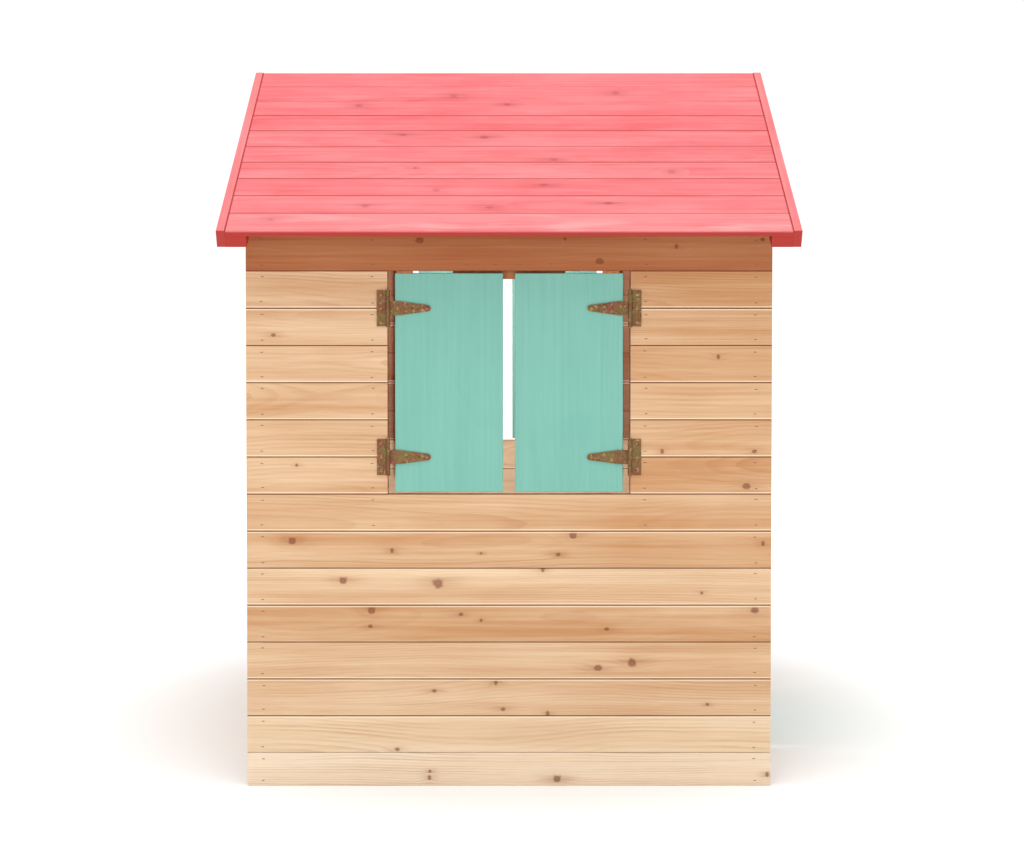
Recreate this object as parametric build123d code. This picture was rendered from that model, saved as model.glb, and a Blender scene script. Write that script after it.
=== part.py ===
from build123d import *
import os
from math import cos, radians, sin, tan

# Wooden playhouse with a gable roof, one door and two windows with pairs of shutters.
# Millimetres. +Z is up, X runs along the ridge and +X is the door end. The origin is on the
# ground under the middle of the house. "left" and "right" are seen from outside the door.

os.makedirs("parts", exist_ok=True)

# ---- House ----
house_length = 960.0  # along the ridge, over the ends of the side boards
house_depth = 1040.0  # across the ridge, over the faces of the side boards
gable_inset = 10.0  # from the ends of the side boards to the gable boards' face

# ---- Boards: tongued and grooved, bevelled along both face edges ----
board_pitch = 68.0
board_thickness = 10.0
bottom_board_height = 61.3
rows_below_sill = 7
window_rows = 6
rows_above_window = 1
tongue_height = 4.0
tongue_thickness = 3.0
tongue_clearance = 0.2
edge_bevel = 1.0

# ---- Battens behind the boards ----
batten_width = 38.0
batten_thickness = 22.0

# ---- Windows and shutters ----
window_width = 444.0
shutter_side_gap = 14.0
shutter_middle_gap = 22.0
shutter_end_gap = 4.0
shutter_hinge_rows = 1  # board joints in from the sill and the head
stop_length = 205.0
stop_show = 15.0  # how far the stop reaches below the head of the opening

# ---- Door ----
door_width = 444.0
door_boards = 6
door_side_gap = 14.0
door_end_gap = 4.0
door_hinge_row_low = 2
door_hinge_row_high = 11
ledger_inset = 20.0  # from the edge of the door to the end of a ledger
knob_radius = 16.0
knob_length = 26.0
knob_neck_radius = 8.0
knob_neck_length = 10.0
knob_edge_radius = 6.0
knob_inset = 34.0

# ---- Roof ----
roof_pitch = 29.4  # degrees
eave_overhang = 72.5
roof_over_wall = 7.5  # from the top of a side wall up to the roof battens
roof_end_clearance = 0.5  # from the gable boards' face to the roof battens
barge_thickness = 15.5
barge_proud = 1.0  # above the roof boards
gable_clearance = 0.5  # round the edges of the gable boards, and under the roof boards

# ---- T hinges ----
hinge_sheet = 2.0
knuckle_radius = 4.0
hinge_plate_height = 66.0
hinge_plate_reach = 20.5  # from the pin's axis to the plate's far edge
plate_hole_reach = 12.3
plate_hole_rise = 25.0
strap_root_height = 25.5
strap_parallel = 22.0  # from the pin's axis to where the strap starts to taper
strap_tip_radius = 5.75
strap_length = 78.0
strap_holes = [(33.0, 5.0), (47.0, -4.0), (70.0, 0.0)]  # from the axis, and up from the middle
pin_radius = 2.0
pin_running_clearance = 0.05
knuckle_end_clearance = 0.3
pin_head_radius = 3.2
pin_head_height = 1.2
axis_inset = 1.3  # from the edge of the opening to the pin's axis

# ---- Screws ----
hinge_screw_radius = 1.7
hinge_screw_head_radius = 3.4
hinge_screw_head_height = 1.3
plate_screw_length = 20.0
strap_screw_length = 10.0
frame_screw_radius = 2.2
frame_screw_head_radius = 4.4
frame_screw_head_height = 1.8
frame_screw_length = 52.0
dome_turn = 50.0  # degrees round a screw head's dome, to the point that sets its curve
dome_rise = 0.83  # of the head's height, at that point
recess_width = 0.8  # of the cross in a screw head
recess_reach = 0.6  # of the head's radius
recess_floor = 0.45  # of the head's height
hole_clearance = 0.1
corner_screw_heights = [150.0, 500.0, 850.0]
rafter_screw_shares = [0.2, 0.5, 0.8]  # of the slope, from the eave

# ---- Worked out from the sizes above ----
shutter_thickness = board_thickness  # sawn from the same stock, so it closes flush against its stop
half_length = house_length / 2
half_depth = house_depth / 2
gable_face = half_length - gable_inset
gable_half = half_depth - board_thickness  # half the width inside the side boards
batten_back = board_thickness + batten_thickness
slope = radians(roof_pitch)
wall_rows = rows_below_sill + window_rows + rows_above_window
sill_z = bottom_board_height + rows_below_sill * board_pitch
head_z = sill_z + window_rows * board_pitch
wall_top = head_z + rows_above_window * board_pitch
roof_under_wall_face = wall_top + roof_over_wall + batten_back / cos(slope)
ridge_z = roof_under_wall_face + half_depth * tan(slope)
slope_length = (half_depth + eave_overhang) / cos(slope)
eave_z = ridge_z - slope_length * sin(slope)
roof_rows = round(slope_length / board_pitch)
roof_board_pitch = slope_length / roof_rows
roof_half = gable_face + roof_end_clearance + batten_width
knuckle_bore = pin_radius + pin_running_clearance
hinge_axis = window_width / 2 - axis_inset
door_axis = door_width / 2 - axis_inset

# Each wall's own frame has x along the wall, y inwards from the boards' face and z up.
left_wall = Location((0, -half_depth, 0))
right_wall = Location((0, half_depth, 0), (0, 0, 180))
front_wall = Location((gable_face, 0, 0), (0, 0, 90))
rear_wall = Location((-gable_face, 0, 0), (0, 0, -90))

# A slope's frame has x along the ridge, y down into the roof and z up the slope from the eave.
left_slope = Location((0, -half_depth - eave_overhang, eave_z), (roof_pitch - 90, 0, 0))
right_slope = Location((0, 0, 0), (0, 0, 180)) * left_slope

nodes = {}  # node name: its solids, where they stand in the house
holes = []  # (solid, its box) of every hole a fastener needs, where it is in the house


def add(name, *shapes):
    """Puts the solids of these shapes in a node."""
    for shape in shapes:
        nodes.setdefault(name, []).extend(shape.solids())


def fasten(name, fastener, hole, places):
    """Puts a fastener at each place, and notes the hole it needs."""
    for place in places:
        add(name, place * fastener)
        placed = place * hole
        holes.append((placed, placed.bounding_box()))


def block(x, y, z):
    """A box from three (low, high) pairs."""
    size = [high - low for low, high in (x, y, z)]
    middle = [(high + low) / 2 for low, high in (x, y, z)]
    return Pos(*middle) * Box(*size)


def prism(points, plane, length):
    """An outline in a plane, taken along the plane's normal."""
    return extrude(plane * make_face(Polyline(*points, close=True)), length, dir=plane.z_dir)


def board_outline(low, width, tongue, groove):
    """A board's section as (depth from the face, height) points, tongue uppermost."""
    high = low + width
    middle = board_thickness / 2
    points = [
        (edge_bevel, low),
        (0, low + edge_bevel),
        (0, high - edge_bevel),
        (edge_bevel, high),
    ]
    if tongue:
        half = tongue_thickness / 2
        top = high + tongue_height
        points += [
            (middle - half, high),
            (middle - half, top),
            (middle + half, top),
            (middle + half, high),
        ]
    points += [(board_thickness, high), (board_thickness, low)]
    if groove:
        half = tongue_thickness / 2 + tongue_clearance
        top = low + tongue_height + tongue_clearance
        points += [(middle + half, low), (middle + half, top), (middle - half, top), (middle - half, low)]
    return points


def board(x_low, x_high, low, width, tongue=True, groove=True):
    """A board lying along x with its face at y = 0."""
    return prism(board_outline(low, width, tongue, groove), Plane.YZ.offset(x_low), x_high - x_low)


def row_range(row):
    """A wall row's lower edge and height. Row 0 is the trimmed bottom board."""
    if row == 0:
        return 0.0, bottom_board_height
    return bottom_board_height + (row - 1) * board_pitch, board_pitch


def both_sides(shape):
    """A shape and its mirror image across the wall's middle."""
    return [shape, mirror(shape, Plane.YZ)]


# ---- Screws: the head stands on z = 0 and the shank goes down ----
def make_screw(radius, head_radius, head_height, length):
    """A round-head screw with a cross recess."""
    side = Line((0, 0), (head_radius, 0))
    shoulder = (head_radius * cos(radians(dome_turn)), head_height * dome_rise)
    dome = ThreePointArc((head_radius, 0), shoulder, (0, head_height))
    head = revolve(Plane.XZ * make_face([side, dome, Line((0, head_height), (0, 0))]), Axis.Z)
    arm = head_radius * recess_reach
    cut_depth = (head_height * recess_floor, 2 * head_height)
    half = recess_width / 2
    cross = block((-arm, arm), (-half, half), cut_depth) + block((-half, half), (-arm, arm), cut_depth)
    shank = Pos(0, 0, -length / 2) * Cylinder(radius, length)
    return head - cross + shank


def make_screw_hole(radius, length):
    reach = length + hole_clearance
    return Pos(0, 0, -reach / 2) * Cylinder(radius + hole_clearance, reach)


hinge_screw_sizes = (hinge_screw_radius, hinge_screw_head_radius, hinge_screw_head_height)
plate_screw = make_screw(*hinge_screw_sizes, plate_screw_length)
plate_screw_hole = make_screw_hole(hinge_screw_radius, plate_screw_length)
strap_screw = make_screw(*hinge_screw_sizes, strap_screw_length)
strap_screw_hole = make_screw_hole(hinge_screw_radius, strap_screw_length)
frame_screw = make_screw(
    frame_screw_radius, frame_screw_head_radius, frame_screw_head_height, frame_screw_length
)
frame_screw_hole = make_screw_hole(frame_screw_radius, frame_screw_length)


# ---- T hinge, pin upright over x = 0, back of the sheet on y = 0, strap towards +x ----
def knuckle(z_low, z_high, reach):
    """A rolled knuckle with its tab of sheet reaching along x."""
    middle = Pos(0, -knuckle_radius)
    tab = Pos(reach / 2, -hinge_sheet / 2) * Rectangle(abs(reach), hinge_sheet)
    section = middle * Circle(knuckle_radius) + tab - middle * Circle(knuckle_bore)
    return extrude(Pos(0, 0, z_low) * section, z_high - z_low, dir=(0, 0, 1))


def make_hinge_plate():
    half = hinge_plate_height / 2
    gap = strap_root_height / 2 + knuckle_end_clearance
    inner = -knuckle_radius - knuckle_end_clearance
    flat = block((-hinge_plate_reach, inner), (-hinge_sheet, 0), (-half, half))
    return flat + knuckle(gap, half, inner) + knuckle(-half, -gap, inner)


def make_hinge_strap():
    half = strap_root_height / 2
    tip = strap_length - strap_tip_radius
    corners = [(strap_parallel, -half), (0, -half), (0, half), (strap_parallel, half)]
    edge = Polyline((tip, -strap_tip_radius), *corners, (tip, strap_tip_radius))
    end = ThreePointArc((tip, strap_tip_radius), (strap_length, 0), (tip, -strap_tip_radius))
    blade = extrude(Plane.XZ * make_face([edge, end]), hinge_sheet, dir=(0, -1, 0))
    bore = Pos(0, -knuckle_radius, 0) * Cylinder(knuckle_bore, hinge_plate_height)
    return blade + knuckle(-half, half, knuckle_radius) - bore


def make_hinge_pin():
    half = hinge_plate_height / 2
    shank = Cylinder(pin_radius, hinge_plate_height)
    heads = [
        Pos(0, 0, side * (half + pin_head_height / 2)) * Cylinder(pin_head_radius, pin_head_height)
        for side in (-1, 1)
    ]
    return Pos(0, -knuckle_radius, 0) * (shank + heads)


hinge_plate = make_hinge_plate()
hinge_strap = make_hinge_strap()
hinge_pin = make_hinge_pin()


def hang(wall, leaf, x, z, turned):
    """One T hinge on a wall: the plate and pin stay with the house, the strap with the leaf."""
    place = wall * Location((x, 0, z), (0, 180 if turned else 0, 0))
    add("hinge_plates", place * hinge_plate)
    add("hinge_pins", place * hinge_pin)
    add(leaf + "_straps", place * hinge_strap)
    facing = Location((0, -hinge_sheet, 0), (90, 0, 0))
    rises = (-plate_hole_rise, 0, plate_hole_rise)
    plate_places = [place * Pos(-plate_hole_reach, 0, rise) * facing for rise in rises]
    fasten("hinge_plate_screws", plate_screw, plate_screw_hole, plate_places)
    strap_places = [place * Pos(reach, 0, rise) * facing for reach, rise in strap_holes]
    fasten(leaf + "_strap_screws", strap_screw, strap_screw_hole, strap_places)


# ---- Side walls with their windows and shutters ----
def side_wall(side, wall):
    half_window = window_width / 2
    sill_row = rows_below_sill
    top_rows = range(sill_row + 1 + window_rows, wall_rows + 1)
    opening = block((-half_window, half_window), (-1, board_thickness + 1), (sill_z, head_z))
    for row in range(sill_row + 1):
        low, height = row_range(row)
        whole = board(-half_length, half_length, low, height, groove=row > 0)
        add(side + "_lower_boards", wall * (whole - opening))
    for row in range(sill_row + 1, top_rows.start):
        short = board(half_window, half_length, *row_range(row))
        add(side + "_window_boards", *[wall * piece for piece in both_sides(short)])
    for row in top_rows:
        low, height = row_range(row)
        whole = board(-half_length, half_length, low, height, tongue=row < wall_rows)
        add(side + "_top_board", wall * whole)

    depth = (board_thickness, batten_back)
    corner_end = half_length - gable_inset - board_thickness
    corner = block((corner_end - batten_width, corner_end), depth, (0, wall_top))
    add(side + "_corner_battens", *[wall * piece for piece in both_sides(corner)])
    foot = sill_z - board_pitch
    jamb = block((half_window, half_window + batten_width), depth, (foot, wall_top))
    add(side + "_window_battens", *[wall * piece for piece in both_sides(jamb)])
    stop_low = head_z - stop_show
    stop = block((-stop_length / 2, stop_length / 2), depth, (stop_low, stop_low + batten_width))
    add(side + "_shutter_stop", wall * stop)


def shutter(name, wall, turned):
    """A closed shutter, hinged at its -x edge, or at its +x edge if it is turned."""
    outer = window_width / 2 - shutter_side_gap
    width = (-outer, -shutter_middle_gap / 2)
    height = (sill_z + shutter_end_gap, head_z - shutter_end_gap)
    panel = block(width, (0, shutter_thickness), height)
    panel = chamfer(panel.edges(), edge_bevel)
    if turned:
        panel = mirror(panel, Plane.YZ)
    add(name + "_panel", wall * panel)
    inset = shutter_hinge_rows * board_pitch
    for z in (sill_z + inset, head_z - inset):
        hang(wall, name, hinge_axis if turned else -hinge_axis, z, turned)


# ---- Gable walls ----
def roof_under(x):
    """Height of the roof boards' underside over x in a gable wall's frame."""
    return ridge_z - board_thickness / cos(slope) - abs(x) * tan(slope)


def rafter_under(x):
    return roof_under(x) - gable_clearance - batten_width / cos(slope)


def gable_outline():
    side = gable_half - gable_clearance
    edge = roof_under(side) - gable_clearance
    points = [(-side, 0), (side, 0), (side, edge), (0, roof_under(0) - gable_clearance), (-side, edge)]
    return prism(points, Plane.XZ.offset(-board_thickness), board_thickness)


def stud(x_low, x_high):
    """An upright batten whose top follows the underside of the rafters."""
    corners = [(x_low, 0), (x_high, 0), (x_high, rafter_under(x_high))]
    if x_low < 0 < x_high:
        corners.append((0, rafter_under(0)))
    corners.append((x_low, rafter_under(x_low)))
    return prism(corners, Plane.XZ.offset(-batten_back), batten_thickness)


def gable_frame(side, wall):
    """Corner battens, rafters and the screws that hold a gable to the side walls and roof."""
    outer = half_depth - batten_back
    corner = stud(outer - batten_width, outer)
    add(side + "_corner_battens", *[wall * piece for piece in both_sides(corner)])
    points = [
        (0, rafter_under(0)),
        (outer, rafter_under(outer)),
        (outer, roof_under(outer) - gable_clearance),
        (0, roof_under(0) - gable_clearance),
    ]
    rafter = prism(points, Plane.XZ.offset(-batten_back), batten_thickness)
    add(side + "_rafters", *[wall * piece for piece in both_sides(rafter)])

    behind = board_thickness + batten_thickness / 2  # the middle of a batten, from the boards' face
    places = []
    for s in (-1, 1):
        inner = s * (outer - batten_width)
        places += [Location((inner, behind, z), (0, -90 * s, 0)) for z in corner_screw_heights]
        for share in rafter_screw_shares:
            along = share * slope_length
            x = half_depth + eave_overhang - along * cos(slope) - behind * sin(slope)
            z = eave_z + along * sin(slope) - behind * cos(slope)
            places.append(Location((s * x, batten_back, z), (-90, 0, 0)))
    fasten("frame_screws", frame_screw, frame_screw_hole, [wall * place for place in places])


def gable_rows():
    """The rows from the top of the door opening to the ridge."""
    row = rows_below_sill + 1 + window_rows
    rows = []
    while row_range(row)[0] < roof_under(0) - gable_clearance - edge_bevel:
        rows.append(row)
        row += 1
    return rows


def front_wall_parts():
    outline = gable_outline()
    half_door = door_width / 2
    opening = block((-half_door, half_door), (-1, board_thickness + 1), (bottom_board_height, head_z))
    low, height = row_range(0)
    sill = board(-gable_half, gable_half, low, height, groove=False)
    add("front_threshold_board", front_wall * ((sill & outline) - opening))
    door_rows = range(1, rows_below_sill + 1 + window_rows)
    for row in door_rows:
        short = board(half_door, gable_half, *row_range(row)) & outline
        add("front_door_side_boards", *[front_wall * piece for piece in both_sides(short)])
    top = gable_rows()
    for row in top:
        whole = board(-gable_half, gable_half, *row_range(row), tongue=row < top[-1])
        add("front_gable_boards", front_wall * (whole & outline))
    post = stud(half_door, half_door + batten_width)
    add("front_door_posts", *[front_wall * piece for piece in both_sides(post)])
    depth = (board_thickness, batten_back)
    stop_low = head_z - stop_show
    stop = block((-stop_length / 2, stop_length / 2), depth, (stop_low, stop_low + batten_width))
    add("front_door_stop", front_wall * stop)
    gable_frame("front", front_wall)


def rear_wall_parts():
    outline = gable_outline()
    top = gable_rows()
    for row in range(top[-1] + 1):
        low, height = row_range(row)
        whole = board(-gable_half, gable_half, low, height, tongue=row < top[-1], groove=row > 0)
        name = "rear_gable_boards" if row > wall_rows else "rear_wall_boards"
        add(name, rear_wall * (whole & outline))
    add("rear_middle_batten", rear_wall * stud(-batten_width / 2, batten_width / 2))
    gable_frame("rear", rear_wall)


# ---- Door ----
def door():
    half = door_width / 2 - door_side_gap
    width = 2 * half / door_boards
    low = bottom_board_height + door_end_gap
    high = head_z - door_end_gap
    for i in range(door_boards):
        section = board_outline(-half + i * width, width, i < door_boards - 1, i > 0)
        points = [(x, y) for y, x in section]
        add("door_boards", front_wall * prism(points, Plane.XY.offset(low), high - low))
    ends = half - ledger_inset
    depth = (board_thickness, batten_back)
    for row in (door_hinge_row_low, door_hinge_row_high):
        z = bottom_board_height + row * board_pitch
        ledger = block((-ends, ends), depth, (z - batten_width / 2, z + batten_width / 2))
        add("door_ledgers", front_wall * ledger)
        hang(front_wall, "door", -door_axis, z, turned=False)

    neck = Pos(0, 0, knob_neck_length / 2) * Cylinder(knob_neck_radius, knob_neck_length)
    head_length = knob_length - knob_neck_length
    head = Cylinder(knob_radius, head_length)
    head = fillet(head.edges().filter_by(GeomType.CIRCLE), knob_edge_radius)
    knob = neck + Pos(0, 0, knob_neck_length + head_length / 2) * head
    knob_z = (low + high) / 2
    add("door_knob", front_wall * Location((half - knob_inset, 0, knob_z), (90, 0, 0)) * knob)


# ---- Roof ----
def roof_slope(side, place):
    beyond = 2 * batten_back  # more than the roof's thickness
    past_ridge = prism(
        [
            (-beyond, slope_length + beyond * tan(slope)),
            (beyond, slope_length - beyond * tan(slope)),
            (beyond, slope_length + beyond),
            (-beyond, slope_length + beyond),
        ],
        Plane.YZ.offset(-house_length),
        2 * house_length,
    )
    for row in range(roof_rows):
        low = row * roof_board_pitch
        last = row == roof_rows - 1
        whole = board(-roof_half, roof_half, low, roof_board_pitch, tongue=not last, groove=row > 0)
        add(side + "_roof_boards", place * (whole - past_ridge if last else whole))
    inner = roof_half - batten_width
    batten = block((inner, roof_half), (board_thickness, batten_back), (0, slope_length)) - past_ridge
    add(side + "_roof_battens", *[place * piece for piece in both_sides(batten)])
    barge_x = (roof_half, roof_half + barge_thickness)
    barge = block(barge_x, (-barge_proud, batten_back), (0, slope_length + beyond)) - past_ridge
    add(side + "_barge_boards", *[place * piece for piece in both_sides(barge)])


def boxes_meet(a, b):
    return all(
        low < other_high and other_low < high
        for low, high, other_low, other_high in zip(a.min, a.max, b.min, b.max)
    )


def drill(solid):
    """The solid, less each fastener's hole that reaches into it."""
    box = solid.bounding_box()
    near = [hole for hole, hole_box in holes if boxes_meet(box, hole_box)]
    return (solid - near).solids() if near else [solid]


side_wall("left", left_wall)
side_wall("right", right_wall)
shutter("left_rear_shutter", left_wall, turned=False)
shutter("left_front_shutter", left_wall, turned=True)
shutter("right_front_shutter", right_wall, turned=False)
shutter("right_rear_shutter", right_wall, turned=True)
front_wall_parts()
rear_wall_parts()
door()
roof_slope("left", left_slope)
roof_slope("right", right_slope)

for node, solids in nodes.items():
    if not node.endswith(("_screws", "_pins", "_knob")):
        solids = [piece for solid in solids for piece in drill(solid)]
    shape = solids[0] if len(solids) == 1 else Compound(children=solids)
    export_step(shape, f"parts/{node}.step")
print(len(nodes), "nodes; ridge", round(ridge_z, 1), "eave", round(eave_z, 1), "roof rows", roof_rows)
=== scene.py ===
import math
import random

import bmesh
import bpy
from mathutils import Matrix, Vector


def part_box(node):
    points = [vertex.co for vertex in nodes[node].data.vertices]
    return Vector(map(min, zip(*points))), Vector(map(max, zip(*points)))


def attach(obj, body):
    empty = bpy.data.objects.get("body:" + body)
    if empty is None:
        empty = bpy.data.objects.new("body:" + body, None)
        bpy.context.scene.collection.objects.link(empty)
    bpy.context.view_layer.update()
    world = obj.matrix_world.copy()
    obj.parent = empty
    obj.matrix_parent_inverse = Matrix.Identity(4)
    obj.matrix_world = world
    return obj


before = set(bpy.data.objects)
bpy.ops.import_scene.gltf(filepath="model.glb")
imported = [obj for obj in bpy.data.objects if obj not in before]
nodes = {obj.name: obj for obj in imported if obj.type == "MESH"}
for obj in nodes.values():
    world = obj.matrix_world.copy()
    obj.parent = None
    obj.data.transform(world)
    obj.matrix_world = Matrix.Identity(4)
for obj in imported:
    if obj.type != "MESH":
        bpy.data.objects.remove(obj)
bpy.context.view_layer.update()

# A wooden playhouse seen square on to its left wall. Metres, +Z up, the door faces +X.

# ---- Places, read from the frame ----
half_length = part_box("left_lower_boards")[1].x
half_depth = -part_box("left_lower_boards")[0].y
gable_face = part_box("front_gable_boards")[1].x
board_thickness = gable_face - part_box("front_gable_boards")[0].x
bottom_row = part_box("front_door_side_boards")[0].z  # the first joint between boards
wall_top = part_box("left_top_board")[1].z
board_pitch = wall_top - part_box("left_top_board")[0].z
WALL_ROWS = round((wall_top - bottom_row) / board_pitch)
sill_z, head_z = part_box("left_window_boards")[0].z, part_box("left_top_board")[0].z
roof_low, roof_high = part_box("left_roof_boards")


# ---- Materials: a small language over shader nodes ----
class Value:
    """A socket in a material. Arithmetic on it adds Math nodes."""

    def __init__(self, shader, socket):
        self.shader, self.socket = shader, socket

    def __add__(self, other):
        return self.shader.math("ADD", self, other)

    def __sub__(self, other):
        return self.shader.math("SUBTRACT", self, other)

    def __mul__(self, other):
        return self.shader.math("MULTIPLY", self, other)

    def __truediv__(self, other):
        return self.shader.math("DIVIDE", self, other)

    def __radd__(self, other):
        return self.shader.math("ADD", other, self)

    def __rsub__(self, other):
        return self.shader.math("SUBTRACT", other, self)

    def __rmul__(self, other):
        return self.shader.math("MULTIPLY", other, self)

    def apply(self, operation, *others):
        return self.shader.math(operation, self, *others)

    def step(self, low, high, to_low=0.0, to_high=1.0):
        """Smooth step from to_low at low to to_high at high."""
        inputs = {"Value": self, "From Min": low, "From Max": high, "To Min": to_low, "To Max": to_high}
        node = self.shader.node("MapRange", inputs, interpolation_type="SMOOTHSTEP")
        return Value(self.shader, node.outputs[0])


class Shader:
    """A material and the nodes in it."""

    def __init__(self, name):
        self.material = bpy.data.materials.new(name)
        self.material.use_nodes = True
        self.tree = self.material.node_tree
        self.tree.nodes.clear()
        place = self.node("TexCoord").outputs["Object"]
        split = self.node("SeparateXYZ", {"Vector": place})
        self.place = Value(self, place)
        self.x, self.y, self.z = (Value(self, split.outputs[i]) for i in range(3))

    def feed(self, socket, value):
        if isinstance(value, Value):
            self.tree.links.new(value.socket, socket)
        elif isinstance(value, bpy.types.NodeSocket):
            self.tree.links.new(value, socket)
        else:
            socket.default_value = value

    def node(self, kind, inputs=None, **settings):
        node = self.tree.nodes.new("ShaderNode" + kind)
        for key, value in settings.items():
            setattr(node, key, value)
        for key, value in (inputs or {}).items():
            self.feed(node.inputs[key], value)
        return node

    def math(self, operation, *values):
        node = self.node("Math", operation=operation)
        for socket, value in zip(node.inputs, values):
            self.feed(socket, value)
        return Value(self, node.outputs[0])

    def vector(self, x, y, z):
        return Value(self, self.node("CombineXYZ", {"X": x, "Y": y, "Z": z}).outputs[0])

    def noise(self, vector, scale=1.0, detail=2.0, roughness=0.5):
        inputs = {"Vector": vector, "Scale": scale, "Detail": detail, "Roughness": roughness}
        return Value(self, self.node("TexNoise", inputs).outputs["Fac"])

    def drift(self, value, detail=1.0):
        """Noise along one number, from about -0.5 to 0.5."""
        node = self.node("TexNoise", {"W": value, "Scale": 1.0, "Detail": detail}, noise_dimensions="1D")
        return Value(self, node.outputs["Fac"]) - 0.5

    def chance(self, value):
        """A number from 0 to 1 that is different for each value."""
        node = self.node("TexWhiteNoise", {"W": value}, noise_dimensions="1D")
        return Value(self, node.outputs["Value"])

    def mix(self, factor, a, b, blend="MIX"):
        node = self.node("Mix", data_type="RGBA", blend_type=blend)
        for socket, value in zip((node.inputs[0], node.inputs[6], node.inputs[7]), (factor, a, b)):
            self.feed(socket, value)
        return Value(self, node.outputs[2])

    def steps(self, index, colours):
        """The colour in a list at a whole-number index."""
        node = self.node("ValToRGB", {"Fac": (index + 0.5) / len(colours)})
        ramp = node.color_ramp
        ramp.interpolation = "CONSTANT"
        for i, colour in enumerate(colours):
            element = ramp.elements[0] if i == 0 else ramp.elements.new(i / len(colours))
            if i == 0:
                element.position = 0.0
            element.color = (*colour, 1.0)
        ramp.elements.remove(ramp.elements[-1])
        return Value(self, node.outputs["Color"])

    def split(self, colour):
        node = self.node("SeparateColor", {"Color": colour})
        return [Value(self, node.outputs[i]) for i in range(3)]

    def surface(self, colour, roughness, height, bump=0.0006, gloss=0.5, **constants):
        """Ends the material with one Principled shader."""
        normal = self.node("Bump", {"Height": height, "Distance": bump, "Strength": 1.0}).outputs[0]
        inputs = {"Base Color": colour, "Roughness": roughness, "Normal": normal, "Specular IOR Level": gloss}
        inputs.update(constants)
        shader = self.node("BsdfPrincipled", inputs)
        out = self.node("OutputMaterial")
        self.tree.links.new(shader.outputs[0], out.inputs["Surface"])
        return self.material


def srgb(r, g, b):
    """A colour in display numbers, 0 to 255, as the linear colour that Blender takes."""
    return tuple(
        c / 12.92 if c <= 0.04045 else ((c + 0.055) / 1.055) ** 2.4 for c in (r / 255, g / 255, b / 255)
    )


def rgba(colour):
    return (*colour, 1.0)


# ---- Wood ----
# Knots of the left wall, which faces the camera: (row, x, rise above the row's middle, radius), metres.
LEFT_WALL_KNOTS = [
    (0, -0.146, -0.016, 0.005),
    (0, -0.145, -0.004, 0.003),
    (0, 0.088, -0.018, 0.007),
    (0, 0.474, -0.010, 0.005),
    (1, -0.205, -0.028, 0.004),
    (2, -0.137, 0.012, 0.004),
    (2, -0.024, 0.027, 0.005),
    (2, -0.011, -0.022, 0.004),
    (2, 0.071, -0.030, 0.005),
    (2, 0.364, -0.013, 0.003),
    (3, 0.163, -0.014, 0.006),
    (3, 0.225, -0.004, 0.008),
    (4, -0.252, 0.024, 0.007),
    (4, -0.254, -0.005, 0.004),
    (4, -0.088, 0.017, 0.004),
    (4, -0.051, 0.006, 0.003),
    (4, 0.179, -0.010, 0.004),
    (4, 0.450, 0.024, 0.006),
    (5, -0.304, 0.011, 0.007),
    (5, -0.130, 0.006, 0.009),
    (5, 0.062, 0.031, 0.005),
    (5, 0.353, -0.012, 0.003),
    (6, -0.397, 0.016, 0.007),
    (6, -0.214, -0.002, 0.005),
    (6, -0.051, -0.007, 0.0025),
    (6, 0.117, 0.026, 0.007),
    (6, 0.090, -0.009, 0.004),
    (6, 0.465, 0.011, 0.005),
    (8, -0.388, 0.019, 0.003),
    (8, 0.434, -0.020, 0.006),
    (9, 0.280, -0.024, 0.005),
    (9, 0.448, -0.024, 0.004),
    (11, 0.382, 0.013, 0.005),
    (12, -0.430, -0.015, 0.004),
    (14, -0.163, 0.021, 0.006),
    (14, 0.102, 0.024, 0.003),
    (14, 0.305, 0.010, 0.005),
    (14, 0.165, -0.017, 0.006),
    (14, 0.462, 0.023, 0.004),
]
# How dark and orange each row of the left wall is, from the bottom up, at its -x end and its +x end.
# 0 is cream, 1 amber and 2 honey. Below 0 it is paler than cream. The top row's 1.80 is painted shade,
# the eave's shadow, and row 13's darker tone is partly painted shade too. The bottom row's paleness is
# partly painted light from the floor and partly the board's own paler colour.
LEFT_WALL_TONES_WITH_PAINTED_LIGHT = [
    (-0.50, -0.50), (0.00, 0.00), (0.42, 0.52), (0.36, 0.52), (0.74, 0.80),
    (0.42, 0.38), (0.60, 0.78), (0.58, 0.68), (0.60, 0.84), (0.56, 0.78),
    (0.60, 0.62), (0.56, 0.84), (0.52, 0.80), (0.66, 1.00), (1.80, 1.80),
]
KNOT_REACH_X, KNOT_REACH_RISE, KNOT_REACH_RADIUS = 0.5, 0.04, 0.02  # the largest values a ramp can hold
KNOT_CELL_LENGTH, KNOT_CELL_HEIGHT = 0.14, 0.05  # scattered knots: at most one in each cell of this size
KNOT_LEAST_RADIUS, KNOT_RADIUS_SPREAD = 0.0025, 0.006
RING_SPACING = 0.0042
WOOD_GLOSS = 0.15

# Bands along a board's edge, from where each starts to where it is full, metres in from the edge.
JOINT_LINE = (0.0013, 0.0005)
HIGHLIGHT_FADE_IN, HIGHLIGHT_FADE_OUT = (0.0044, 0.0028), (0.0012, 0.0020)
ROOF_JOINT_LINE = (0.0022, 0.0008)
ROOF_SIDE_GAP = (0.0022, 0.0010)
# Painted shade on the roof boards' end faces and undersides begins this far:
ROOF_EDGE_SHADE = (0.0010, 0.0020)  # down from the roof's face
INNER_FACE = (0.8, 0.95)  # shares of a board's thickness, in from its outer face

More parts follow.
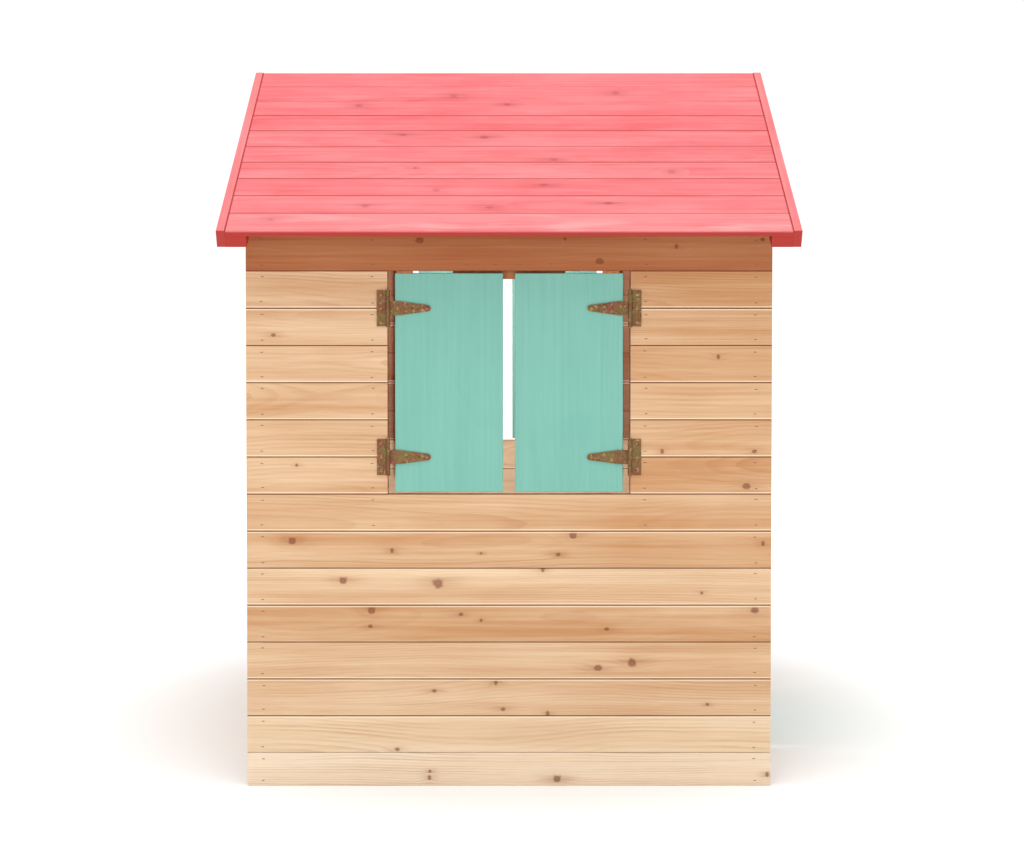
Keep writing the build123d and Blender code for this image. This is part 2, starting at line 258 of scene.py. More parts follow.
# The palest and the deepest wood colours here also serve as painted light near the floor and painted shade
# under the eave and inside.
PALE_AND_PAINTED_LIGHT = srgb(246, 228, 204)
CREAM = srgb(227, 199, 165)
AMBER = srgb(191, 142, 99)
HONEY_AND_PAINTED_SHADE = srgb(160, 92, 54)
LATEWOOD = srgb(160, 100, 58)
KNOT_EDGE = srgb(104, 42, 20)
KNOT_HEART = srgb(142, 80, 50)
JOINT_BROWN = srgb(96, 50, 26)
# A painted highlight along one long edge of each board.
EDGE_HIGHLIGHT = srgb(244, 224, 196)
# A painted shade for boards' inner faces inside the house.
INNER_SHADE = srgb(118, 54, 34)


# Noise is stretched along the grain: where a vector is made for it, the number beside u is cycles per metre
# along the grain, and those beside v and w are cycles per metre across it.
def knot_fields(shader, offset_u, offset_v, radius):
    """A knot at an offset: how much a point is in it, how much in its halo, and how much in its heart."""
    rough = shader.noise(shader.vector(offset_u * 90, offset_v * 90, radius * 900), detail=1.0) - 0.5
    size = radius + 0.00001
    stretch = shader.chance((radius * 3000).apply("ROUND")) * 0.7 + 0.75
    du, dv = offset_u / size * stretch, offset_v / size
    distance = (du * du + dv * dv).apply("SQRT") * (1.0 + rough * 1.1)
    inside = distance.step(1.25, 0.55)
    halo = (du * du * -0.055 - dv * dv * 0.45).apply("EXPONENT")
    return inside, halo, distance.step(0.55, 0.1) * 0.6


def listed_knots(shader, u, v, row, knots, rows):
    """Knots from a list of (row, x, rise, radius). Each ramp holds one knot of every row.

    Gives how much a point is in a knot, in its halo and in its heart, and how far the grain bulges.
    """
    by_row = [[knot for knot in knots if knot[0] == r] for r in range(rows)]
    inside, halo, heart, bulge = 0.0, 0.0, 0.0, 0.0
    for i in range(max(map(len, by_row))):
        table = []
        for found in by_row:
            _, x, rise, radius = found[i] if i < len(found) else (0, 0.0, 0.0, 0.0)
            table.append((x + KNOT_REACH_X, rise / KNOT_REACH_RISE / 2 + 0.5, radius / KNOT_REACH_RADIUS))
        x, rise, radius = shader.split(shader.steps(row, table))
        size = radius * KNOT_REACH_RADIUS
        here, around, middle = knot_fields(
            shader, u - (x - KNOT_REACH_X), v - (rise - 0.5) * (2 * KNOT_REACH_RISE), size
        )
        there = size.step(0.0005, 0.001)
        inside = (here * there).apply("MAXIMUM", inside)
        halo = (around * there).apply("MAXIMUM", halo)
        heart = (middle * there).apply("MAXIMUM", heart)
        bulge = around * size + bulge
    return inside, halo, heart, bulge


def scattered_knots(shader, u, v, seed, share):
    """Knots here and there, in a share of the cells of a stretched Voronoi pattern."""
    where = shader.vector(u * (1 / KNOT_CELL_LENGTH), v * (1 / KNOT_CELL_HEIGHT), seed * 7.3)
    cells = shader.node("TexVoronoi", {"Vector": where, "Scale": 1.0, "Randomness": 0.8})
    centre = shader.node("SeparateXYZ", {"Vector": cells.outputs["Position"]})
    offset_u = u - Value(shader, centre.outputs[0]) * KNOT_CELL_LENGTH
    offset_v = v - Value(shader, centre.outputs[1]) * KNOT_CELL_HEIGHT
    lot, size, _ = shader.split(Value(shader, cells.outputs["Color"]))
    there = lot.apply("LESS_THAN", share)
    radius = (KNOT_LEAST_RADIUS + size * KNOT_RADIUS_SPREAD) * there
    inside, halo, heart = knot_fields(shader, offset_u, offset_v, radius)
    return inside * there, halo * there, heart * there, halo * radius


def rings(shader, u, v, w, seed, bulge):
    """Growth rings of a flat-sawn board: 0 to 1, dark where latewood shows. u runs along the grain."""
    across = (shader.chance(seed) - 0.5) * 0.12 + shader.drift(u * 1.1 + seed * 3.1) * 0.03
    depth = 0.012 + shader.chance(seed + 0.37) * 0.09 + shader.drift(u * 1.5 + seed * 5.7) * 0.045
    from_pith_v, from_pith_w = v - across, w + depth
    radius = (from_pith_v * from_pith_v + from_pith_w * from_pith_w).apply("SQRT")
    wobble = shader.noise(shader.vector(u * 9, v * 60, w * 60 + seed), detail=2.0) - 0.5
    ring = (radius + wobble * 0.0030 + bulge * 0.9) / RING_SPACING
    part = ring.apply("FRACT")
    late = part.step(0.30, 0.90) * part.step(1.0, 0.94)
    strength = shader.chance(ring.apply("FLOOR") + seed) * 0.8 + 0.2
    fade = shader.noise(shader.vector(u * 2.5 + seed, v * 12, 0.0), detail=1.0).step(0.3, 0.7, 0.25, 1.0)
    return late * strength * fade


def wood_surface(shader, u, v, w, seed, tone, knots):
    """Colour, roughness and height of bare softwood."""
    inside, halo, heart, bulge = knots
    late = rings(shader, u, v, w, seed, bulge)
    fibre = shader.noise(shader.vector(u * 16, v * 560, w * 560), detail=2.0, roughness=0.6)
    streak = shader.noise(shader.vector(u * 1.8 + seed, v * 95, w * 95), detail=3.0, roughness=0.65)
    band = shader.noise(shader.vector(u * 0.9 + seed * 2.0, v * 22 + seed, w * 22), detail=1.0)
    cloud = shader.noise(shader.vector(u * 3.5, v * 9 + seed, w * 9), detail=2.0)
    amount = tone + (cloud - 0.5) * 0.6 + (streak - 0.5) * 1.0 + (band - 0.5) * 0.9
    # Past 1 the colour turns honey, which also paints shade; below 0 it turns pale, which also paints light
    # near the floor.
    bare = shader.mix(amount, rgba(CREAM), rgba(AMBER))
    bare = shader.mix(amount - 1.0, bare, rgba(HONEY_AND_PAINTED_SHADE))
    bare = shader.mix(amount * -1.0, bare, rgba(PALE_AND_PAINTED_LIGHT))
    grained = shader.mix(late * 0.34 + (fibre - 0.45) * 0.35, bare, rgba(LATEWOOD))
    haloed = shader.mix(halo * (0.35 + (streak - 0.5) * 1.2), grained, rgba(LATEWOOD))
    knot = shader.mix(heart, rgba(KNOT_EDGE), rgba(KNOT_HEART))
    colour = shader.mix(inside * 0.66, haloed, knot)
    roughness = 0.62 - late * 0.10 + (fibre - 0.5) * 0.15 - inside * 0.15
    height = late * 0.35 + fibre * 0.4 + inside * 0.5
    return colour, roughness, height


def near_edge(distance, edge, band):
    """0 to 1 over a band that is measured in from an edge."""
    return distance.step(edge - band[0], edge - band[1])


def shade_joints(shader, colour, v, half_pitch, seed):
    """A dark line in the joint at a board's long edges, and a painted highlight along one of them."""
    line = near_edge(v.apply("ABSOLUTE"), half_pitch, JOINT_LINE)
    # Painted highlight: a pale band along one of the board's long edges.
    highlight_side = shader.chance(seed + 0.9).apply("GREATER_THAN", 0.5) * 2.0 - 1.0
    edge = v * highlight_side
    highlight = near_edge(edge, half_pitch, HIGHLIGHT_FADE_IN) * near_edge(edge, half_pitch, HIGHLIGHT_FADE_OUT)
    colour = shader.mix(highlight * 0.6, colour, rgba(EDGE_HIGHLIGHT))
    return shader.mix(line * 0.92, colour, rgba(JOINT_BROWN))


def board_rows(shader):
    """A wall's row number at a point, and the height above that row's middle."""
    above = (shader.z - bottom_row) / board_pitch
    row = above.apply("FLOOR").apply("MAXIMUM", -1.0) + 1.0
    middle = bottom_row + (row - 0.5) * board_pitch
    in_bottom = row.apply("LESS_THAN", 0.5)
    middle = middle * (1.0 - in_bottom) + in_bottom * (bottom_row / 2)
    return row, shader.z - middle


def wall_board_wood(name, along, face, wall_number, tones=None, knots=None, inner_shade=0.0):
    """Boards lying along "x" or "y" with their faces at +-face on the other axis.

    The last argument is how strongly painted shade darkens the inner face above the sill.
    """
    shader = Shader(name)
    u, across = (shader.x, shader.y) if along == "x" else (shader.y, shader.x)
    w = face - across.apply("ABSOLUTE")
    row, v = board_rows(shader)
    far_side = u.apply("GREATER_THAN", 0.0)
    seed = row * 1.37 + wall_number * 23.1
    if tones:
        # On the left wall the listed tones also hold painted shade under the eave and painted light near the
        # floor.
        # A ramp's colours can't be below 0, so it holds each tone with 1 added.
        table = [(low + 1.0, high + 1.0, 0.0) for low, high in tones]
        low_tone, high_tone, _ = shader.split(shader.steps(row, table))
        side = (u * 2.2 + 0.5).apply("MINIMUM", 1.0).apply("MAXIMUM", 0.0)
        tone = low_tone * (1.0 - side) + high_tone * side - 1.0
    else:
        tone = shader.chance(seed + 0.71) * 0.75 + 0.05
    if knots:
        fields = listed_knots(shader, u, v, row, knots, WALL_ROWS + 1)
    else:
        fields = scattered_knots(shader, u, v, seed, 0.16)
    above_sill = (shader.z - sill_z).apply("GREATER_THAN", 0.0)
    beside_window = above_sill * (shader.z - head_z).apply("LESS_THAN", 0.0)
    board_seed = seed + far_side * beside_window * 0.53
    colour, roughness, height = wood_surface(shader, u, v, w, board_seed, tone, fields)
    # Painted shade on the inner face above the sill.
    inner_face = w.step(*(board_thickness * share for share in INNER_FACE)) * above_sill
    colour = shader.mix(inner_face * inner_shade, colour, rgba(INNER_SHADE))
    colour = shade_joints(shader, colour, v, board_pitch / 2, seed)
    return shader.surface(colour, roughness, height, gloss=WOOD_GLOSS)


def upright_wood(name, tone):
    """Battens, studs and rafters: straight grain, mostly upright."""
    shader = Shader(name)
    seed = shader.x.apply("SIGN") * 3.1 + shader.y.apply("SIGN") * 1.7
    v, w = shader.x + shader.y * 0.35, shader.y - shader.x * 0.35
    fields = scattered_knots(shader, shader.z, v, seed, 0.12)
    tone_here = shader.chance(seed) * 0.3 + tone
    colour, roughness, height = wood_surface(shader, shader.z, v, w, seed, tone_here, fields)
    return shader.surface(colour, roughness, height, gloss=WOOD_GLOSS)


# ---- Stained wood: the grain shows through a thin colour ----
def stain(shader, colour_light, colour_deep, u, v, w, seed, knots, depth, rings_shown=0.35, contrast=1.0):
    """Colour, roughness and height of wood under a translucent stain."""
    inside, halo, heart, bulge = knots
    late = rings(shader, u, v, w, seed, bulge)
    fibre = shader.noise(shader.vector(u * 9, v * 520, w * 520), detail=2.0, roughness=0.6)
    brushed = shader.noise(shader.vector(u * 1.4 + seed, v * 75, w * 75), detail=4.0, roughness=0.7)
    cloud = shader.noise(shader.vector(u * 5 + seed, v * 14, w * 14), detail=3.0, roughness=0.6)
    uneven = ((brushed - 0.5) * 1.5 + (cloud - 0.5) * 1.2) * contrast
    dark = late * rings_shown + uneven + (fibre - 0.5) * 0.5 + depth
    colour = shader.mix(dark, rgba(colour_light), rgba(colour_deep))
    knot_colour = tuple(c * 0.55 for c in colour_deep)
    smear = (inside * 0.32 + halo * (0.36 + (brushed - 0.5) * 2.2)) * contrast
    colour = shader.mix(smear, colour, rgba(knot_colour))
    roughness = 0.5 + (fibre - 0.5) * 0.2 - late * 0.06
    height = late * 0.4 + fibre * 0.45 + brushed * 0.2
    return colour, roughness, height


ROOF_LIGHT, ROOF_DEEP = srgb(207, 119, 121), srgb(199, 80, 84)
ROOF_SHADOW = srgb(160, 44, 34)
ROOF_BLEACHED = srgb(206, 146, 145)
# From the eave up: how deep the stain is on each board, and how dark each joint above a board is.
ROOF_DEPTHS = [0.05, 0.30, 0.48, 0.28, 0.40, 0.34, 0.56, 0.42, 0.40, 0.40]
ROOF_JOINTS = [0.2, 0.4, 0.65, 0.75, 0.9, 0.5, 0.9, 0.9, 0.15, 0.2, 0.2]
# Knots of each slope, as on the left wall, with rows from the eave up. The right slope has them turned round.
ROOF_KNOTS = [
    (8, -0.110, -0.010, 0.010),
    (7, -0.003, 0.018, 0.007),
    (7, -0.301, 0.012, 0.008),
    (8, 0.218, 0.004, 0.008),
    (5, -0.206, 0.015, 0.006),
    (5, -0.048, 0.005, 0.008),
    (3, -0.177, 0.010, 0.005),
    (4, 0.086, -0.024, 0.006),
    (3, 0.306, -0.006, 0.008),
    (2, -0.135, -0.012, 0.007),
    (1, -0.263, -0.006, 0.007),
    (2, 0.065, 0.008, 0.006),
    (1, -0.035, -0.012, 0.006),
    (1, 0.182, 0.004, 0.006),
    (0, -0.430, 0.010, 0.004),
]
TURQUOISE_LIGHT, TURQUOISE_DEEP = srgb(130, 186, 172), srgb(108, 166, 151)
TURQUOISE_SMUDGE = srgb(104, 170, 154)

half_depth_of_roof = -roof_low.y
roof_thickness_drop = board_thickness * math.cos(math.atan2(roof_high.z - roof_low.z, half_depth_of_roof))
eave_top = roof_low.z + roof_thickness_drop
ROOF_ROWS = round(math.hypot(half_depth_of_roof, roof_high.z - eave_top) / board_pitch)


def slope_place(shader, side):
    """A point's distance up the slope from the eave, and its depth below the roof's face."""
    run = half_depth_of_roof
    rise = roof_high.z - eave_top
    length = math.hypot(run, rise)
    cos_slope, sin_slope = run / length, rise / length
    inward = run - shader.y * side
    up = inward * cos_slope + (shader.z - eave_top) * sin_slope
    below = inward * sin_slope - (shader.z - eave_top) * cos_slope
    return up, below, length


def roof_board_stain(name, side):
    """The boards of one slope: side is -1 on the left and 1 on the right."""
    shader = Shader(name)
    up, below, length = slope_place(shader, side)
    pitch = length / ROOF_ROWS
    row = (up / pitch).apply("FLOOR")
    v = up - (row + 0.5) * pitch
    seed = row * 1.91 + side * 11.3
    fields = listed_knots(shader, shader.x * -side, v, row, ROOF_KNOTS, ROOF_ROWS)
    depth, _, _ = shader.split(shader.steps(row, [(d, 0.0, 0.0) for d in ROOF_DEPTHS]))
    colour, roughness, height = stain(shader, ROOF_LIGHT, ROOF_DEEP, shader.x, v, below, seed, fields, depth)
    patches = shader.noise(shader.vector(shader.x * 5 + 0.8, v * 30, 0.0), detail=3.0).step(0.5, 0.7)
    colour = shader.mix(patches * row.apply("LESS_THAN", 0.5) * 0.6, colour, rgba(ROOF_BLEACHED))
    joint = (up / pitch + 0.5).apply("FLOOR")
    strength, _, _ = shader.split(shader.steps(joint, [(d, 0.0, 0.0) for d in ROOF_JOINTS]))
    line = near_edge(v.apply("ABSOLUTE"), pitch / 2, ROOF_JOINT_LINE)
    colour = shader.mix(line * strength, colour, rgba(ROOF_SHADOW))
    # Painted shade on the boards' end faces and undersides, and in the gaps at their sides.
    edge_shade = below.step(*ROOF_EDGE_SHADE)
    side_gap = near_edge(shader.x.apply("ABSOLUTE"), roof_high.x, ROOF_SIDE_GAP)
    colour = shader.mix(edge_shade.apply("MAXIMUM", side_gap) * 0.92, colour, rgba(ROOF_SHADOW))
    return shader.surface(colour, roughness, height, bump=0.0005, gloss=WOOD_GLOSS)


def roof_edge_stain(name, side, depth):
    """Barge boards and roof battens, whose grain runs up the slope."""
    shader = Shader(name)
    up, below, _ = slope_place(shader, side)
    seed = shader.x.apply("SIGN") * 2.3 + side * 5.1
    fields = scattered_knots(shader, up, shader.x, seed, 0.1)
    colour, roughness, height = stain(shader, ROOF_LIGHT, ROOF_DEEP, up, shader.x, below, seed, fields, depth)
    end = up.step(0.0012, 0.0004)
    inner = shader.x.apply("ABSOLUTE").step(roof_high.x + 0.0016, roof_high.x + 0.0006)
    under = below.step(0.0005, 0.0015)
    shade = end.apply("MAXIMUM", inner).apply("MAXIMUM", under * 0.6)
    colour = shader.mix(shade * 0.9, colour, rgba(ROOF_SHADOW))
    return shader.surface(colour, roughness, height, bump=0.0005, gloss=WOOD_GLOSS)


def painted_wood(name, boards=None):
    """Turquoise stain with upright grain. boards is (first edge, width) of boards side by side along y."""
    shader = Shader(name)
    across = shader.x + shader.y
    if boards:
        seed = ((shader.y - boards[0]) / boards[1]).apply("FLOOR") * 1.9
    else:
        seed = shader.x.apply("SIGN") * 1.3 + shader.y.apply("SIGN") * 2.9
    v, w = across, shader.x - shader.y
    fields = scattered_knots(shader, shader.z, v, seed, 0.01)
    depth = shader.chance(seed + 0.4) * 0.4 + 0.1
    colour, roughness, height = stain(
        shader,
        TURQUOISE_LIGHT,
        TURQUOISE_DEEP,
        shader.z,
        v,
        w,
        seed,
        fields,
        depth,
        rings_shown=0.12,
        contrast=0.45,
    )
    place = shader.vector(shader.x * 7, shader.y * 7, shader.z * 5)
    smudge = shader.noise(place, detail=3.0).step(0.58, 0.75)
    colour = shader.mix(smudge * 0.25, colour, rgba(TURQUOISE_SMUDGE))
    return shader.surface(colour, roughness, height, bump=0.0004, gloss=WOOD_GLOSS)


# ---- Metal ----
ZINC_OLIVE, ZINC_BRONZE, ZINC_ROSE = srgb(154, 128, 78), srgb(160, 108, 72), srgb(164, 94, 76)
ZINC_GRIME, ZINC_RUBBED = srgb(72, 52, 36), srgb(186, 160, 112)


def zinc(name, brightness):
    """Yellow passivated zinc: olive, bronze and rose patches, dull where it is handled."""
    shader = Shader(name)
    patches = shader.noise(shader.place, scale=55, detail=3.0, roughness=0.6)
    blush = shader.noise(shader.place, scale=28, detail=2.0)
    grime = shader.noise(shader.place, scale=240, detail=3.0, roughness=0.7)
    olive, bronze, rose = (
        rgba(tuple(c * brightness for c in colour)) for colour in (ZINC_OLIVE, ZINC_BRONZE, ZINC_ROSE)
    )
    colour = shader.mix(patches.step(0.42, 0.62), olive, bronze)
    colour = shader.mix(blush.step(0.46, 0.66) * 0.7, colour, rose)
    colour = shader.mix(grime.step(0.46, 0.70) * 0.7, colour, rgba(ZINC_GRIME))
    rubbed = shader.noise(shader.place, scale=130, detail=2.0).step(0.58, 0.72)
    colour = shader.mix(rubbed * 0.5, colour, rgba(ZINC_RUBBED))
    roughness = 0.42 + (patches - 0.5) * 0.2 + grime.step(0.45, 0.75) * 0.2
    return shader.surface(colour, roughness, grime * 0.6 + patches * 0.4, bump=0.0002, Metallic=0.75)


def staple_wire(name, colour):
    """Wire of one colour, spotted darker."""
    shader = Shader(name)
    spots = shader.noise(shader.place, scale=900, detail=2.0)
    tint = shader.mix(spots, rgba(colour), rgba(tuple(c * 0.5 for c in colour)))
    return shader.surface(tint, 0.55 + spots * 0.2, spots, bump=0.0001)


# ---- Give every CAD node its material ----
def both_slopes(make, kind, *depth):
    """A roof material for each slope, by its side."""
    return {side: make(f"{word}_{kind}", side, *depth) for side, word in ((-1, "left"), (1, "right"))}


left_boards = wall_board_wood("left_board_wood", "x", half_depth, 1, LEFT_WALL_TONES_WITH_PAINTED_LIGHT, LEFT_WALL_KNOTS)
right_boards = wall_board_wood("right_board_wood", "x", half_depth, 2, inner_shade=0.7)
front_boards = wall_board_wood("front_board_wood", "y", gable_face, 3)
rear_boards = wall_board_wood("rear_board_wood", "y", gable_face, 4)
# The battens' deep tone, 1.7, is partly painted shade, darkening the inside seen through the window gaps.
batten_wood = upright_wood("batten_wood", 1.7)
wall_boards = {"left": left_boards, "right": right_boards, "front": front_boards, "rear": rear_boards}
roof_boards = both_slopes(roof_board_stain, "roof_stain")
roof_edges = both_slopes(roof_edge_stain, "barge_stain", 0.25)
roof_battens = both_slopes(roof_edge_stain, "roof_batten_stain", 0.95)
turquoise = painted_wood("turquoise_stain")
door_low, door_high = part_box("door_boards")
DOOR_BOARDS = 6
door_board_width = (door_high.y - door_low.y) / DOOR_BOARDS
door_turquoise = painted_wood("door_turquoise_stain", (door_low.y, door_board_width))
hinge_steel = zinc("hinge_zinc", 0.6)
screw_steel = zinc("screw_zinc", 1.1)


def material_for(name):
    """The material of a CAD node, by the words in its name."""
    side = -1 if name.startswith("left") else 1
    if name.endswith("_screws") or name == "hinge_pins":
        return screw_steel
    if name.endswith("_straps") or name == "hinge_plates":
        return hinge_steel
    if name.endswith("roof_boards"):
        return roof_boards[side]
    if name.endswith("roof_battens"):
        return roof_battens[side]
    if name.endswith("barge_boards"):
        return roof_edges[side]
    if name == "door_boards":
        return door_turquoise
    if name.endswith("_panel") or name in ("door_knob", "door_ledgers"):
        return turquoise
    if any(word in name for word in ("batten", "rafters", "posts", "stop")):
        return batten_wood
    return wall_boards[name.split("_")[0]]


def soften(obj, width):
    """Rounds a CAD node's sharp edges a little."""
    weld = obj.modifiers.new("weld", "WELD")
    weld.merge_threshold = 0.00001
    bevel = obj.modifiers.new("soft_edges", "BEVEL")
    bevel.width = width
    bevel.segments = 2
    bevel.limit_method = "ANGLE"
    bevel.angle_limit = math.radians(30)


EDGE_ROUNDING = 0.0005
# Nodes without screw holes. Rounding the others would leave marks round their holes.
UNDRILLED = (
    "roof_boards", "roof_battens", "barge_boards", "gable_boards", "wall_boards", "top_board", "ledgers",
)
for name, obj in nodes.items():
    obj.data.materials.clear()
    obj.data.materials.append(material_for(name))
    if name.endswith(UNDRILLED):
        soften(obj, EDGE_ROUNDING)


# ---- Staples through the boards into the battens ----
STAPLE_CROWN = 0.0057
STAPLE_WIRE = 0.0012
STAPLE_PROUD = 0.00015
STAPLE_EDGE = 0.011  # from a joint between boards
STAPLE_ROUNDING = 0.35 * STAPLE_WIRE


def reach(edge, direction):
    """How far an edge goes along a direction."""
    return abs((edge.verts[0].co - edge.verts[1].co).dot(direction))


def staples(name, body, material, places):
    """One mesh of many staple crowns. Each place is (centre, along, outwards)."""
    mesh = bpy.data.meshes.new(name)
    bm = bmesh.new()
    for centre, along, outwards in places:
        side = outwards.cross(along)
        turn = Matrix((along, side, outwards)).transposed()
        made = bmesh.ops.create_cube(bm, size=1.0)["verts"]
        for vert in made:
            local = Vector((vert.co.x * STAPLE_CROWN, vert.co.y * STAPLE_WIRE, vert.co.z * STAPLE_WIRE))
            vert.co = centre + turn @ (local + Vector((0, 0, STAPLE_PROUD - STAPLE_WIRE / 2)))
        edges = {edge for vert in made for edge in vert.link_edges}
        across = [edge for edge in edges if reach(edge, side) > STAPLE_WIRE / 2]
        bmesh.ops.bevel(bm, geom=across, offset=STAPLE_ROUNDING, segments=2, affect="EDGES")
    bm.to_mesh(mesh)
    bm.free()
    mesh.materials.append(material)
    obj = bpy.data.objects.new(name, mesh)
    bpy.context.scene.collection.objects.link(obj)
    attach(obj, body)
    return obj


X, Y, Z = Vector((1, 0, 0)), Vector((0, 1, 0)), Vector((0, 0, 1))
bare_wire = staple_wire("staple_wire", srgb(120, 84, 62))
paint_wire = staple_wire("painted_staple_wire", srgb(110, 170, 154))
rng = random.Random(7)


def jitter(amount=0.0015):
    """How far a staple is from where it was aimed."""
    return rng.uniform(-amount, amount)


def row_heights(row):
    """The two heights of a row's staples. Row 0 is the trimmed bottom board."""
    low = 0.0 if row == 0 else bottom_row + (row - 1) * board_pitch
    return low + STAPLE_EDGE, bottom_row + row * board_pitch - STAPLE_EDGE


window_low, window_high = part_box("left_window_battens")
batten_thickness = window_high.y - window_low.y
CORNER_SHARE = 0.42  # of a batten's thickness, in from the corner battens' outer side
corner_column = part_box("left_corner_battens")[1].x - batten_thickness * CORNER_SHARE
window_column = window_high.x - batten_thickness / 2
stop_half_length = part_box("left_shutter_stop")[1].x
STOP_STAPLES = (-0.76, -0.24, 0.2, 0.75)  # shares of the stop block's half length


def side_wall_staples(name, side):
    """Staples into the corner battens, the window battens and the shutters' stop block."""
    places = []
    for row in range(WALL_ROWS + 1):
        for z in row_heights(row):
            columns = [corner_column] + ([window_column] if z > window_low.z else [])
            for x in columns:
                for s in (-1, 1):
                    centre = Vector((s * x + jitter(), side * half_depth, z + jitter()))
                    places.append((centre, X * -side, Y * side))
    for share in STOP_STAPLES:
        centre = Vector((share * stop_half_length, side * half_depth, head_z + STAPLE_EDGE + jitter()))
        places.append((centre, X * -side, Y * side))
    return staples(name, "house", bare_wire, places)


side_wall_staples("left_wall_staples", -1)
side_wall_staples("right_wall_staples", 1)

RAFTER_INSET = 0.035  # from a gable board's sloping end
CORNER_SHIFT = 0.0135  # a gable's outer staples are this much nearer the corner than a side wall's
gable_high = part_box("front_gable_boards")[1]
gable_top = gable_high.z
gable_corner = half_depth - (half_length - corner_column) + CORNER_SHIFT
gable_slope = (gable_top - wall_top) / gable_high.y


def gable_staples(name, side, inner_columns):
    """Staples into the corner battens, the posts or middle batten, and the rafters."""
    places = []
    rows = WALL_ROWS + math.ceil((gable_top - wall_top) / board_pitch)
    for row in range(rows + 1):
        for z in row_heights(row):
            if z < wall_top:
                columns = [gable_corner] + inner_columns
            else:
                columns = [(gable_top - z) / gable_slope - RAFTER_INSET]
            for y in columns:
                if y < 0 or z > gable_top - RAFTER_INSET:
                    continue
                for s in (-1, 1) if y else (1,):
                    centre = Vector((side * gable_face, s * y + jitter(), z + jitter()))
                    places.append((centre, Y * side, X * side))
    return staples(name, "house", bare_wire, places)


gable_staples("front_wall_staples", 1, [window_column])  # the door is as wide as a window
gable_staples("rear_wall_staples", -1, [0.0])


STRAP_HALF_HEIGHT = 0.01275
straps_low, straps_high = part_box("door_straps")
joint_heights = (straps_low.z + STRAP_HALF_HEIGHT, straps_high.z - STRAP_HALF_HEIGHT)
DOOR_STAPLES_ACROSS = (-0.27, 0.27)  # shares of a board's width, from its middle
DOOR_STAPLES_UP = (-0.75, 0.75)  # shares of half a ledger's height, from its middle


def door_staples():
    """Staples through the door's boards into its two ledgers, which are behind the straps."""
    ledger_low, ledger_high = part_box("door_ledgers")
    half_ledger = ((ledger_high.z - ledger_low.z) - (joint_heights[1] - joint_heights[0])) / 2
    places = []
    for ledger_z in joint_heights:
        for board in range(DOOR_BOARDS):
            for across in DOOR_STAPLES_ACROSS:
                for rise in DOOR_STAPLES_UP:
                    y = door_low.y + (board + 0.5 + across) * door_board_width + jitter()
                    places.append((Vector((door_high.x, y, ledger_z + rise * half_ledger)), Y, X))
    return staples("door_staples", "door", paint_wire, places)


door_staples()


# ---- Stage: pale floor, white surroundings, soft light from above and in front ----
FLOOR_HALF_SIZE = 40.0
FADE_START, FADE_END = 0.5, 1.9  # from the house's middle, where the floor turns to backdrop white
PAPER_LIGHT, PAPER_DARK = (0.90, 0.90, 0.90), (0.88, 0.88, 0.88)


def make_floor(glow):
    """A wide sheet of pale paper that glows further out, so that it meets the backdrop without an edge."""
    mesh = bpy.data.meshes.new("floor")
    s = FLOOR_HALF_SIZE
    mesh.from_pydata([(-s, -s, 0), (s, -s, 0), (s, s, 0), (-s, s, 0)], [], [(0, 1, 2, 3)])
    floor = bpy.data.objects.new("floor", mesh)
    bpy.context.scene.collection.objects.link(floor)
    shader = Shader("floor_paper")
    grain = shader.noise(shader.place, scale=60, detail=2.0)
    colour = shader.mix(grain, rgba(PAPER_LIGHT), rgba(PAPER_DARK))
    away = (shader.x * shader.x + shader.y * shader.y).apply("SQRT").step(FADE_START, FADE_END)
    emission = {"Emission Color": rgba((1, 1, 1)), "Emission Strength": away * glow}
    mesh.materials.append(shader.surface(colour, 0.9, grain, bump=0.0001, **emission))


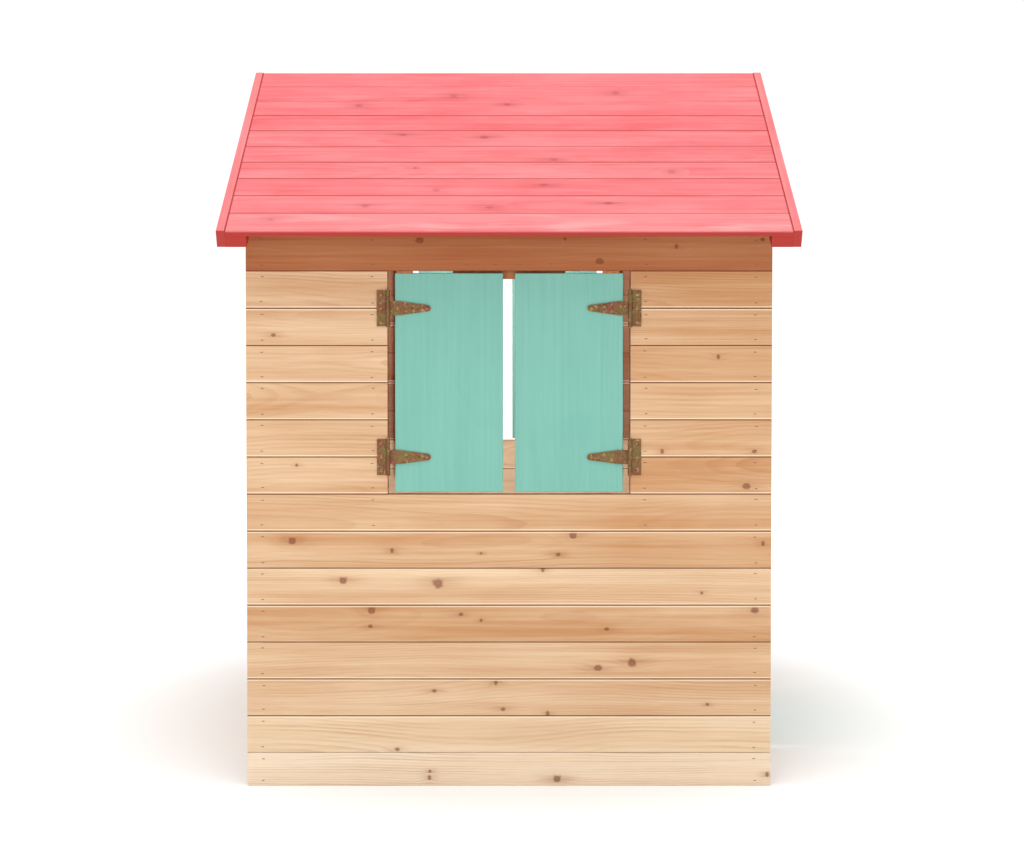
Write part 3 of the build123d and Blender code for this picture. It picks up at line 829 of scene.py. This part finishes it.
def make_world(light, backdrop):
    """A white surround that lights the house less than it shows."""
    world = bpy.data.worlds.new("studio")
    world.use_nodes = True
    tree = world.node_tree
    tree.nodes.clear()
    path = tree.nodes.new("ShaderNodeLightPath")
    glow = tree.nodes.new("ShaderNodeBackground")
    seen = tree.nodes.new("ShaderNodeBackground")
    glow.inputs["Strength"].default_value = light
    seen.inputs["Strength"].default_value = backdrop
    for node in (glow, seen):
        node.inputs["Color"].default_value = (1, 1, 1, 1)
    mix = tree.nodes.new("ShaderNodeMixShader")
    out = tree.nodes.new("ShaderNodeOutputWorld")
    tree.links.new(path.outputs["Is Camera Ray"], mix.inputs[0])
    tree.links.new(glow.outputs[0], mix.inputs[1])
    tree.links.new(seen.outputs[0], mix.inputs[2])
    tree.links.new(mix.outputs[0], out.inputs[0])
    bpy.context.scene.world = world


def area_light(name, place, aim, size, power):
    """A round soft light, not seen by the camera. Metres and watts."""
    light = bpy.data.lights.new(name, "AREA")
    light.shape = "DISK"
    light.size = size
    light.energy = power
    obj = bpy.data.objects.new(name, light)
    obj.location = place
    obj.visible_camera = False
    obj.rotation_euler = (Vector(aim) - Vector(place)).to_track_quat("-Z", "Y").to_euler()
    bpy.context.scene.collection.objects.link(obj)


make_floor(glow=0.65)
make_world(light=0.6, backdrop=1.1)
area_light("overhead", place=(0, -1.0, 5.5), aim=(0, -0.4, 0), size=5.0, power=260)
area_light("front", place=(-0.8, -5.5, 3.0), aim=(0, 0, 0.7), size=3.0, power=45)
area_light("inside", place=(0, -0.1, 1.0), aim=(0, 0.5, 0.5), size=0.3, power=5.5)
bpy.context.scene.view_settings.view_transform = "Standard"

# ---- Camera: square to the left wall, a little lower than the eave and looking slightly down ----
CAMERA_PLACE = (-0.0108, -4.1507, 0.9872)
CAMERA_PITCH = 1.701  # degrees down
camera = bpy.data.cameras.new("camera")
camera.sensor_width = 36.0
camera.lens = 70.03
camera.shift_x = 0.0087
camera.shift_y = -0.12
camera_obj = bpy.data.objects.new("camera", camera)
camera_obj.location = CAMERA_PLACE
camera_obj.rotation_euler = (math.radians(90 - CAMERA_PITCH), 0, 0)
bpy.context.scene.collection.objects.link(camera_obj)
bpy.context.scene.camera = camera_obj
